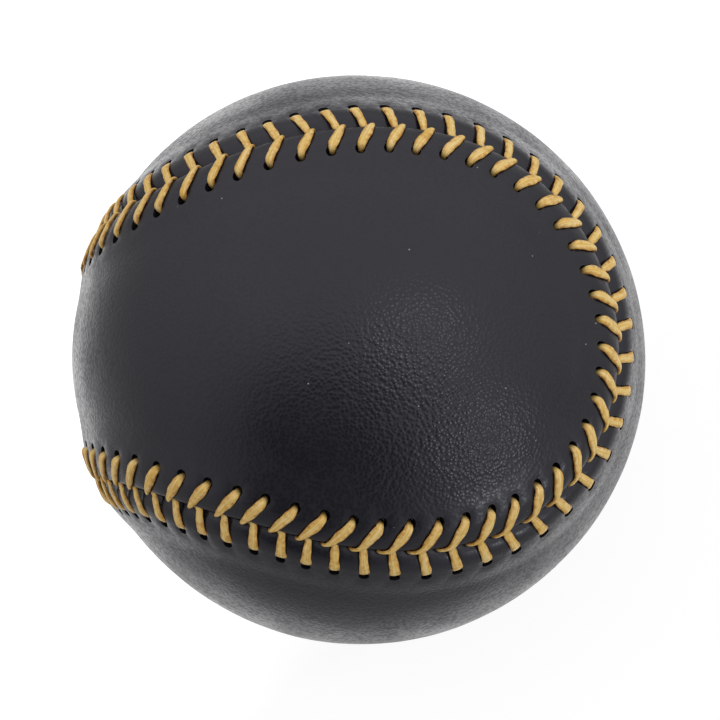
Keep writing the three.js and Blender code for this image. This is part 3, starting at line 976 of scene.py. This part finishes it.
def woundYarn(name, dark, light, roughness):
    # Spun yarn: fibres run along it with a slow twist, hairy and dull
    material, tree, shader = newMaterial(name)
    lay = addNode(tree, "ShaderNodeAttribute", attribute_name="fibre").outputs["Vector"]
    place = addNode(tree, "ShaderNodeTexCoord").outputs["Object"]
    fibres = addNode(tree, "ShaderNodeTexNoise", {"Vector": lay, "Scale": 7.0, "Detail": 4.0})
    dust = addNode(tree, "ShaderNodeTexNoise", {"Vector": place, "Scale": perMetre(0.7), "Detail": 4.0})
    tone = addNode(tree, "ShaderNodeMix", {
        "Factor": fibres.outputs["Fac"], "A": hexColour(dark), "B": hexColour(light),
    }, data_type="RGBA")
    coarse = addNode(tree, "ShaderNodeBump", {
        "Height": fibres.outputs["Fac"], "Strength": 0.7, "Distance": 0.2 * millimetre,
    })
    fine = addNode(tree, "ShaderNodeBump", {
        "Height": dust.outputs["Fac"], "Strength": 0.5, "Distance": 0.08 * millimetre,
        "Normal": coarse.outputs["Normal"],
    })
    tree.links.new(tone.outputs["Result"], shader.inputs["Base Color"])
    tree.links.new(fine.outputs["Normal"], shader.inputs["Normal"])
    shader.inputs["Roughness"].default_value = roughness
    shader.inputs["IOR"].default_value = 1.5
    return material


coreLooks = {
    "cork_core": {
        "name": "composition cork", "dark": "#6f4a2a", "light": "#b98a5a", "grain": 1.4,
        "roughness": (0.75, 0.9),
    },
    "black_rubber_half": {
        "name": "moulded black rubber", "dark": "#121212", "light": "#242323", "grain": 0.5,
        "roughness": (0.5, 0.65),
    },
    "red_rubber_half": {
        "name": "moulded red rubber", "dark": "#6e1712", "light": "#93271e", "grain": 0.5,
        "roughness": (0.5, 0.65),
    },
    "red_rubber_gasket": {
        "name": "red rubber washer", "dark": "#7d1d16", "light": "#a53024", "grain": 0.4,
        "roughness": (0.55, 0.7),
    },
}


def coreMaterial(look):
    # Cork granules or rubber filler: cells of two tones, dusty and slightly rough
    material, tree, shader = newMaterial(look["name"])
    place = addNode(tree, "ShaderNodeTexCoord").outputs["Object"]
    granules = addNode(tree, "ShaderNodeTexVoronoi", {"Vector": place, "Scale": perMetre(look["grain"])})
    cells = addNode(tree, "ShaderNodeSeparateColor", {"Color": granules.outputs["Color"]})
    patches = addNode(tree, "ShaderNodeTexNoise", {"Vector": place, "Scale": perMetre(3), "Detail": 5.0})
    mixed = addNode(tree, "ShaderNodeMath", {0: cells.outputs["Red"], 1: patches.outputs["Fac"]},
                    operation="MULTIPLY")
    tone = addNode(tree, "ShaderNodeMix", {
        "Factor": mixed.outputs["Value"], "A": hexColour(look["dark"]), "B": hexColour(look["light"]),
    }, data_type="RGBA")
    roughness = addNode(tree, "ShaderNodeMapRange", {
        "Value": patches.outputs["Fac"], "From Min": 0.3, "From Max": 0.7,
        "To Min": look["roughness"][0], "To Max": look["roughness"][1],
    })
    bump = addNode(tree, "ShaderNodeBump", {
        "Height": granules.outputs["Distance"], "Strength": 0.4, "Distance": 0.1 * millimetre,
    })
    for socket, value in {
        "Base Color": tone.outputs["Result"], "Roughness": roughness.outputs["Result"],
        "Normal": bump.outputs["Normal"],
    }.items():
        tree.links.new(value, shader.inputs[socket])
    shader.inputs["IOR"].default_value = 1.5
    return material


def dressCore():
    for start, look in coreLooks.items():
        material = coreMaterial(look)
        for name in [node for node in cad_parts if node.startswith(start)]:
            for slot in bpy.data.objects[name].material_slots:
                slot.material = material


threadLook = {
    "straw": "#e6b94c",
    "pale": "#f8de93",
    "amber": "#ba802a",
    # partly a real wax stain, mostly painted shade: the thread goes this dark down in the holes and between
    # the panels
    "stainedAndShaded": "#2c1e10",
    "flecks": 0.6,  # mm across
    "edge": 0.42,  # painted shade: how much darker the sides of the thread are painted
}


def waxedThread():
    # Waxed twisted cotton: straw gold, fine fibres along it, browner where it was drawn through the holes;
    # painted shade darkens it further down in the holes and between the panels, and along its sides
    material, tree, shader = newMaterial("waxed cotton thread")
    lay = addNode(tree, "ShaderNodeAttribute", attribute_name="fibre")
    stainAndShade = addNode(tree, "ShaderNodeAttribute", attribute_name="stainAndShade")
    edge = addNode(tree, "ShaderNodeAttribute", attribute_name="edge")
    fibres = addNode(tree, "ShaderNodeTexNoise", {
        "Vector": lay.outputs["Vector"], "Scale": 5.0, "Detail": 4.0,
    })
    place = addNode(tree, "ShaderNodeTexCoord").outputs["Object"]
    flecks = addNode(tree, "ShaderNodeTexNoise", {
        "Vector": place, "Scale": perMetre(threadLook["flecks"]), "Detail": 3.0,
    })
    strands = addNode(tree, "ShaderNodeMapRange", {
        "Value": fibres.outputs["Fac"], "From Min": 0.35, "From Max": 0.65,
    })
    tone = addNode(tree, "ShaderNodeMix", {
        "Factor": strands.outputs["Result"],
        "A": hexColour(threadLook["straw"]), "B": hexColour(threadLook["pale"]),
    }, data_type="RGBA")
    # Amber where there are flecks, and as painted shade along the thread's sides
    flecksAndPaintedShade = addNode(tree, "ShaderNodeMath", {
        0: edge.outputs["Fac"], 1: threadLook["edge"], 2: flecks.outputs["Fac"],
    }, operation="MULTIPLY_ADD")
    amber = addNode(tree, "ShaderNodeMapRange", {
        "Value": flecksAndPaintedShade.outputs["Value"], "From Min": 0.62, "From Max": 1.04, "To Max": 0.95,
    })
    tone = addNode(tree, "ShaderNodeMix", {
        "Factor": amber.outputs["Result"], "A": tone.outputs["Result"], "B": hexColour(threadLook["amber"]),
    }, data_type="RGBA")
    # Stain and painted shade: the thread is darkened where it dips into the holes and between the panels
    tone = addNode(tree, "ShaderNodeMix", {
        "Factor": stainAndShade.outputs["Fac"], "A": tone.outputs["Result"], "B": hexColour(threadLook["stainedAndShaded"]),
    }, data_type="RGBA")
    bump = addNode(tree, "ShaderNodeBump", {
        "Height": fibres.outputs["Fac"], "Strength": 0.7, "Distance": 0.08 * millimetre,
    })
    lumps = addNode(tree, "ShaderNodeBump", {
        "Height": flecks.outputs["Fac"], "Strength": 0.5, "Distance": 0.06 * millimetre,
        "Normal": bump.outputs["Normal"],
    })
    tree.links.new(tone.outputs["Result"], shader.inputs["Base Color"])
    tree.links.new(lumps.outputs["Normal"], shader.inputs["Normal"])
    shader.inputs["Roughness"].default_value = 0.55
    shader.inputs["IOR"].default_value = 1.45
    return material


# Floor and light

studio = {
    "floorGlow": (1.4, 0.36),  # near the ball and far from it
    "floorPool": (0.06, 0.12),  # m: the floor dims between these distances
    "sky": "#f8f4ff",
    # How the sky changes towards a direction (right, up and back of the camera): facing from and to,
    # brightness from and to, and the blend
    "skyChanges": (
        ((0.0, 0.6, 0.8), (-0.6, 0.7), (0.36, 1.0), "LINEAR"),
        ((-0.22, -0.56, 0.8), (0.64, 1.0), (1.0, 0.13), "SMOOTHSTEP"),
    ),
    "floorHeight": -0.0367,
    "floorRadius": 3,
    # Sides of the floor that glow less: direction, from and to in m, share of the glow left
    "nearSides": (((-0.7, 0.7, 0.0), -0.02, 0.045, 0.62), ((-0.1, 1.0, 0.0), -0.08, -0.06, 0.25)),
    "farSides": (((-0.1, 1.0, 0.0), -0.08, -0.06, 0.72),),
    "lampColour": (0.88, 0.93, 1.0),
    "lampDistance": 0.8,
    "lamps": {  # direction, size in m and power in W
        "upper right softbox": ((0.41, 0.13, 0.9), 0.1, 0.38),
        "lower right softbox": ((0.74, -0.5, 0.46), 0.13, 0.54),
    },
}


def fromCamera(direction):
    aim = sum(np.array(camera[axis]) * part for axis, part in zip(("right", "up", "back"), direction))
    return aim / np.linalg.norm(aim)


def addFloor():
    deselectAll()
    middle = (0.0, 0.0, studio["floorHeight"])
    bpy.ops.mesh.primitive_circle_add(
        vertices=96, radius=studio["floorRadius"], fill_type="NGON", location=middle)
    floor = bpy.context.object
    floor.name = "floor"
    bpy.ops.object.transform_apply(location=True, rotation=False, scale=False)
    # The floor glows though it is no lamp: painted light, a bright pool round the ball that dims further out
    # and on the sides named
    material, tree, shader = newMaterial("glowing white sweep")
    place = addNode(tree, "ShaderNodeTexCoord").outputs["Object"]
    reach = addNode(tree, "ShaderNodeVectorMath", {0: place, 1: middle}, operation="DISTANCE")

    def glow(near, far, sides):
        # Emission near or far from the ball, less on the sides named
        strength = addNode(tree, "ShaderNodeMapRange", {
            "Value": reach.outputs["Value"], "From Min": studio["floorPool"][0],
            "From Max": studio["floorPool"][1], "To Min": near, "To Max": far,
        }, interpolation_type="SMOOTHSTEP").outputs["Result"]
        for direction, start, end, least in sides:
            side = addNode(tree, "ShaderNodeVectorMath", {0: place, 1: direction}, operation="DOT_PRODUCT")
            share = addNode(tree, "ShaderNodeMapRange", {
                "Value": side.outputs["Value"], "From Min": start, "From Max": end,
                "To Min": least, "To Max": 1.0,
            })
            strength = addNode(tree, "ShaderNodeMath", {0: strength, 1: share.outputs["Result"]},
                               operation="MULTIPLY").outputs["Value"]
        return strength

    nearGlow = glow(studio["floorGlow"][0], 0.0, studio["nearSides"])
    farGlow = glow(0.0, studio["floorGlow"][1], studio["farSides"])
    strength = addNode(tree, "ShaderNodeMath", {0: nearGlow, 1: farGlow}, operation="ADD").outputs["Value"]
    tree.links.new(strength, shader.inputs["Emission Strength"])
    shader.inputs["Base Color"].default_value = hexColour("#7c7c7c")
    shader.inputs["Roughness"].default_value = 0.8
    shader.inputs["Emission Color"].default_value = hexColour("#ffffff")
    floor.data.materials.append(material)


def addWorld():
    world = bpy.data.worlds.new("studio")
    scene.world = world
    world.use_nodes = True
    tree = world.node_tree
    background = tree.nodes["Background"]
    place = addNode(tree, "ShaderNodeTexCoord").outputs["Generated"]
    levels = []
    for direction, facing, brightness, blend in studio["skyChanges"]:
        nearness = addNode(tree, "ShaderNodeVectorMath", {0: place, 1: tuple(fromCamera(direction))},
                           operation="DOT_PRODUCT")
        level = addNode(tree, "ShaderNodeMapRange", {
            "Value": nearness.outputs["Value"], "From Min": facing[0], "From Max": facing[1],
            "To Min": brightness[0], "To Max": brightness[1],
        }, interpolation_type=blend)
        levels.append(level.outputs["Result"])
    strength = addNode(tree, "ShaderNodeMath", {0: levels[0], 1: levels[1]}, operation="MULTIPLY")
    tree.links.new(strength.outputs["Value"], background.inputs["Strength"])
    background.inputs["Color"].default_value = hexColour(studio["sky"])


def addLamp(name, direction, size, power):
    data = bpy.data.lights.new(name, "AREA")
    data.shape = "DISK"
    data.size = size
    data.energy = power
    data.color = studio["lampColour"]
    lamp = bpy.data.objects.new(name, data)
    scene.collection.objects.link(lamp)
    aim = fromCamera(direction)
    lamp.location = aim * studio["lampDistance"]
    lamp.rotation_mode = "QUATERNION"
    lamp.rotation_quaternion = Vector(aim).to_track_quat("Z", "Y")


addCamera()
print("camera set")
leatherMaterial = drumDyedLeather()
threadMaterial = waxedThread()
print("materials made")
for side, node in ((1, "leather_panel_a"), (-1, "leather_panel_b")):
    panel = addPanel(node, side, leatherMaterial)
    print(node, "covered:", sum(len(face.vertices) - 2 for face in panel.data.polygons), "triangles")
for side, node in ((1, "stitching_thread_a"), (-1, "stitching_thread_b")):
    thread = addThread(node, side, threadMaterial)
    print(node, "made:", 2 * len(thread.data.polygons), "triangles")
yarnMaterials = {slot: woundYarn(*look) for slot, look in yarnLooks.items()}
for node, parts in windings.items():
    winding = addWinding(node, *parts, yarnMaterials[parts[-1]])
    print(node, "wound:", sum(len(face.vertices) - 2 for face in winding.data.polygons), "triangles")
dressCore()
print("cork and rubber finished")
addFloor()
addWorld()
for name, lamp in studio["lamps"].items():
    addLamp(name, *lamp)
scene.view_settings.view_transform = "Standard"
print("studio set")
